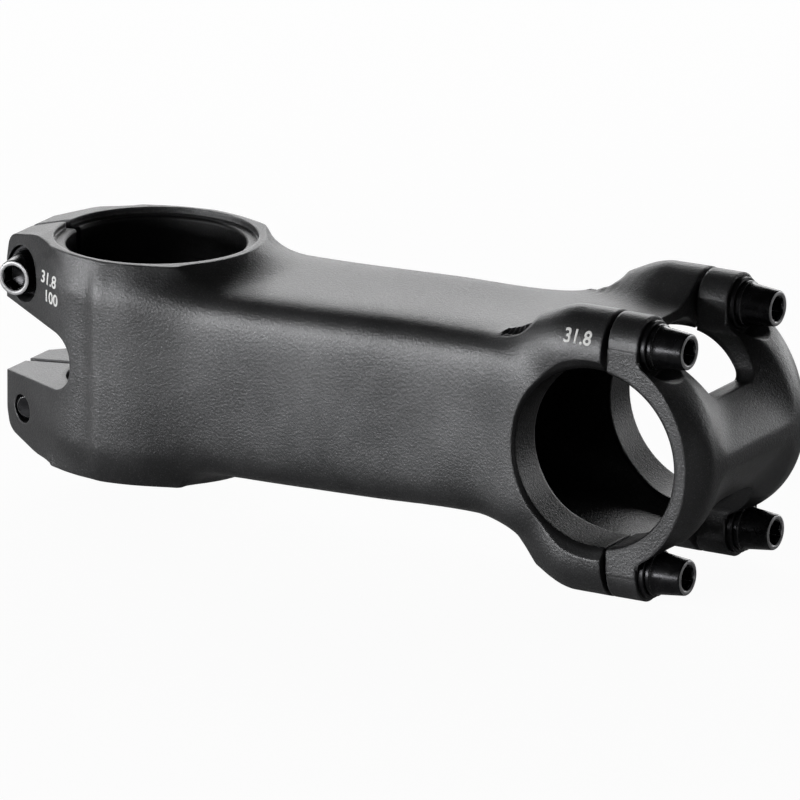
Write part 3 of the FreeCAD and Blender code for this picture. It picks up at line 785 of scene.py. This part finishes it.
@dataclass
class TappedThread:
    """Cut thread that shows in the open end of a tapped hole, sizes in millimetres."""

    site: Site
    body: BVHTree
    thread: Thread = Thread(depth=0.42, steepness=1.3, flat=0.15)
    wall_radius: float = 2.56
    wall_search: float = 1.04
    back: float = 29.6
    turns_shown: float = 15.0
    fade_passes: int = 2
    sharp_degrees: float = 60.0
    angles: int = 96

    def cover(self, along: np.ndarray, angles: np.ndarray) -> np.ndarray:
        """1 where the hole still has its wall, 0 where it has broken out through the skin."""
        axes = axes_for(self.site.direction)
        ways = revolve_rows(np.zeros((1, 1)), np.ones((1, 1)), angles)[0] @ axes
        search = self.wall_radius * self.wall_search * MM
        found = np.zeros((len(along), len(angles)))
        for i, distance in enumerate(along):
            start = Vector(np.array(self.site.seat) + axes[0] * distance * MM)
            for j, way in enumerate(ways):
                hit = self.body.ray_cast(start, Vector(way), search)[0]
                found[i, j] = 0.0 if hit is None else 1.0
        return found

    def build(self, finishes: Finishes) -> bpy.types.Object:
        """Make the ribs: wall radius less the thread's wave, faded out where the wall ends."""
        step = self.thread.pitch / self.thread.rows_per_turn
        along = np.arange(-self.back, self.turns_shown * self.thread.pitch - self.back, step)
        angles = full_turn(self.angles)
        wall = self.cover(along, angles)
        fade = wall.copy()
        for _ in range(self.fade_passes):
            around = np.minimum(np.roll(fade, 1, axis=1), np.roll(fade, -1, axis=1))
            fade = np.minimum(fade, 0.5 * fade + 0.5 * around)
        ribs = self.thread.depth * self.thread.wave(along[:, None], angles) * fade
        grid = revolve_rows(along[:, None], self.wall_radius - ribs, angles)
        quads = np.array(ring_faces(len(along), self.angles))
        kept = wall.reshape(-1)[quads].min(axis=1) > 0
        inward = quads[kept][:, ::-1].tolist()
        piece = mesh_object("tapped_thread_" + self.site.label, self.site.points(grid), inward,
                            self.sharp_degrees)
        drop_loose_points(piece)
        dress(piece, finishes[Finish.TAPPED])
        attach(piece, "stem")
        return piece


# ---- body and faceplate ------------------------------------------------------------------------
@dataclass
class NumberMark:
    """A plain number printed on the right side of the body, sizes in millimetres."""

    name: str
    text: str
    left: float
    foot: float
    height: float
    font_share: float = 1.4
    bold_share: float = 0.03
    weld: float = 1e-4
    cell: float = 0.3
    lift: float = 0.03
    ink: float = 0.02
    start: float = -100.0

    def flat_mesh(self) -> bpy.types.Mesh:
        """The digits as a flat mesh, cut into narrow cells so that it can bend."""
        curve = bpy.data.curves.new(self.name, "FONT")
        curve.body = self.text
        curve.size = self.height * self.font_share
        curve.offset = self.bold_share * self.height
        source = link_object(self.name + "_source", curve)
        bpy.context.view_layer.update()
        mesh = bpy.data.meshes.new_from_object(source)
        bpy.data.objects.remove(source)
        with edited(mesh) as work:
            bmesh.ops.remove_doubles(work, verts=work.verts, dist=self.weld)
            for axis, normal in ((0, (1, 0, 0)), (1, (0, 1, 0))):
                reach = max(vertex.co[axis] for vertex in work.verts)
                for step in np.arange(self.cell, reach, self.cell):
                    everything = list(work.verts) + list(work.edges) + list(work.faces)
                    bmesh.ops.bisect_plane(work, geom=everything, plane_no=normal,
                                           plane_co=Vector(normal) * float(step))
        return mesh

    def build(self, finishes: Finishes, surface: BVHTree) -> bpy.types.Object:
        """Lay the digits on the right side, lifted by the ink's thickness."""
        mesh = self.flat_mesh()
        for vertex in mesh.vertices:
            x, z = (self.left + vertex.co.x) * MM, (self.foot + vertex.co.y) * MM
            hit, normal, _, _ = surface.ray_cast(Vector((x, self.start * MM, z)), Vector((0, 1, 0)))
            vertex.co = hit + normal * self.lift * MM
        piece = link_object(self.name, mesh)
        layer = piece.modifiers.new("ink", "SOLIDIFY")
        layer.thickness, layer.offset = self.ink * MM, -1
        dress(piece, finishes[Finish.PRINT])
        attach(piece, "stem")
        return piece


@dataclass
class AlloyParts:
    """The forged body and its faceplate, and the numbers printed on the body."""

    nodes: tuple[str, ...] = ("stem_body", "faceplate")
    marks: tuple[NumberMark, ...] = (
        NumberMark("print_collar_upper", "31.8", left=-14.8, foot=13.1, height=2.1),
        NumberMark("print_collar_lower", "100", left=-13.6, foot=10.0, height=2.1),
        NumberMark("print_clamp", "31.8", left=94.4, foot=20.5, height=2.3),
    )

    def build(self, finishes: Finishes, surface: BVHTree) -> None:
        """Dress both nodes and print the numbers."""
        for name in self.nodes:
            dress(frame["nodes"][name], finishes[Finish.ALLOY])
            LOG.info("finished %s", name)
        for mark in self.marks:
            mark.build(finishes, surface)
            LOG.info("printed %s", mark.name)


# ---- studio ------------------------------------------------------------------------------------
@dataclass(frozen=True)
class Softbox:
    """Rectangular lamp that faces the object."""

    name: str
    direction: tuple[float, float, float]
    distance: float
    width: float
    height: float
    power: float


@dataclass(frozen=True)
class Floor:
    """Pale floor just under the part, gently rolling up at its far rim, sizes in metres."""

    size: float = 14.0
    points_each_way: int = 33
    flat_share: float = 0.8
    rim_rise: float = 0.4
    below_part: float = 0.0002
    tone_scale: float = 3.0
    shade: Colour = (0.90, 0.90, 0.90, 1.0)
    paint: Colour = (0.93, 0.93, 0.93, 1.0)
    bounce: Colour = (0.07, 0.07, 0.07, 1.0)
    glow_share: float = 0.9
    glow_strength: float = 1.06

    def make_paint(self) -> bpy.types.Material:
        """Matt paint: pale where it is seen, dull where it lights the part."""
        material, graph, surface = new_material("floor_paint")
        tone = graph.noise(graph.object_place(), self.tone_scale)
        colour = graph.blend(tone, self.shade, self.paint)
        path = graph.add("LightPath").outputs
        seen = graph.math("MAXIMUM", path["Is Camera Ray"], path["Is Glossy Ray"])
        seen = graph.math("MAXIMUM", seen, path["Is Transmission Ray"])
        matt = graph.add("BsdfDiffuse", {"Color": graph.blend(seen, self.bounce, colour)})
        glow = graph.add("Emission", {"Color": WHITE, "Strength": self.glow_strength})
        share = graph.math("MULTIPLY", path["Is Camera Ray"], self.glow_share)
        mixed = graph.add("MixShader", {0: share, 1: matt.outputs[0], 2: glow.outputs[0]})
        graph.tree.links.new(mixed.outputs[0], surface)
        return material

    def build(self) -> None:
        """Make the floor: height rim_rise * (distance - flat_share), never below the flat."""
        count = self.points_each_way
        x, y = np.meshgrid(np.linspace(-1, 1, count), np.linspace(-1, 1, count), indexing="ij")
        rise = np.clip(np.hypot(x, y) - self.flat_share, 0, None) * self.rim_rise
        height = rise + CAD_BOX[0][2] - self.below_part
        points = np.stack([x * self.size / 2, y * self.size / 2, height], -1).reshape(-1, 3)
        corner = np.arange(count * count).reshape(count, count)[:-1, :-1].reshape(-1)
        faces = np.stack([corner, corner + count, corner + count + 1, corner + 1], -1).tolist()
        floor = mesh_object("floor", points, faces)
        dress(floor, self.make_paint())


@dataclass
class Studio:
    """Pale floor, soft lamps, world and camera."""

    target: Vector = field(default_factory=lambda: Vector((0.04952, 0.0, -0.0025)))
    azimuth: float = 30.25
    elevation: float = 16.65
    roll: float = 0.2
    distance: float = 3.0
    lens: float = 775.6
    sensor: float = 36.0
    clip: tuple[float, float] = (0.1, 60.0)
    floor: Floor = Floor()
    overhead_band: tuple[float, float] = (0.25, 0.62)
    room_light: tuple[float, float] = (0.085, 0.012)
    lamps: tuple[Softbox, ...] = (
        Softbox("back_softbox", (-0.48, 0.83, 0.30), 1.3, 1.5, 0.5, 8.5),
        Softbox("far_softbox", (0.30, 0.95, 0.06), 1.4, 1.2, 0.5, 7.0),
        Softbox("side_softbox", (-0.62, -0.80, 0.02), 1.2, 1.5, 0.34, 24.0),
        Softbox("front_softbox", (0.95, -0.45, -0.10), 1.5, 0.5, 0.5, 3.0),
    )

    def view_axes(self) -> tuple[Vector, Vector, Vector]:
        """Right, up and back of the camera, from its azimuth, elevation and roll."""
        turn, rise, roll = (math.radians(v) for v in (self.azimuth, self.elevation, self.roll))
        back = Vector((math.sin(turn) * math.cos(rise), -math.cos(turn) * math.cos(rise),
                       math.sin(rise)))
        level = Vector((math.cos(turn), math.sin(turn), 0.0))
        upright = back.cross(level)
        right = level * math.cos(roll) + upright * math.sin(roll)
        return right, upright * math.cos(roll) - level * math.sin(roll), back

    def make_camera(self) -> None:
        """Place the scene's camera."""
        data = bpy.data.cameras.new("view")
        data.lens, data.sensor_width = self.lens, self.sensor
        data.clip_start, data.clip_end = self.clip
        camera = link_object("view", data)
        right, up, back = self.view_axes()
        turn = Matrix((right, up, back)).transposed().to_4x4()
        camera.matrix_world = Matrix.Translation(self.target + back * self.distance) @ turn
        bpy.context.scene.camera = camera

    def make_lamps(self) -> None:
        """Place the softboxes, each turned to the object."""
        for lamp in self.lamps:
            data = bpy.data.lights.new(lamp.name, "AREA")
            data.shape, data.energy = "RECTANGLE", lamp.power
            data.size, data.size_y = lamp.width, lamp.height
            way = Vector(lamp.direction).normalized()
            box = link_object(lamp.name, data)
            box.location = self.target + way * lamp.distance
            box.rotation_euler = way.to_track_quat("Z", "Y").to_euler()

    def make_world(self) -> None:
        """Dim room, darker overhead than level, and white where the camera looks past the floor."""
        world = bpy.data.worlds.new("room")
        world.use_nodes = True
        world.node_tree.nodes.clear()
        graph = Graph(world.node_tree)
        path = graph.add("LightPath").outputs
        where = graph.add("TexCoord").outputs["Generated"]
        upward = graph.add("SeparateXYZ", {0: where}).outputs["Z"]
        room = graph.span(upward, self.overhead_band, self.room_light)
        seen = graph.math("MAXIMUM", path["Is Camera Ray"], path["Is Transmission Ray"])
        strength = graph.math("MAXIMUM", seen, room)
        light = graph.add("Background", {"Color": WHITE, "Strength": strength})
        graph.add("OutputWorld", {"Surface": light.outputs[0]})
        bpy.context.scene.world = world

    def build(self) -> None:
        """Build the whole studio."""
        bpy.context.scene.view_settings.view_transform = "Standard"
        self.make_camera()
        self.floor.build()
        self.make_lamps()
        self.make_world()


def main() -> None:
    """Build every sub-assembly in order."""
    logging.basicConfig(level=logging.INFO, format="%(name)s: %(message)s")
    finishes = make_finishes(Effects())
    body = node_surface("stem_body")
    AlloyParts().build(finishes, body)
    for site in screw_sites():
        screw = Screw(site).build(finishes)
        washer = Washer(site).build(finishes)
        LOG.info("built %s and %s", screw.name, washer.name)
        if site.place is Place.FACEPLATE:
            TappedThread(site, body).build(finishes)
    Studio().build()


if __name__ == "__main__":
    main()
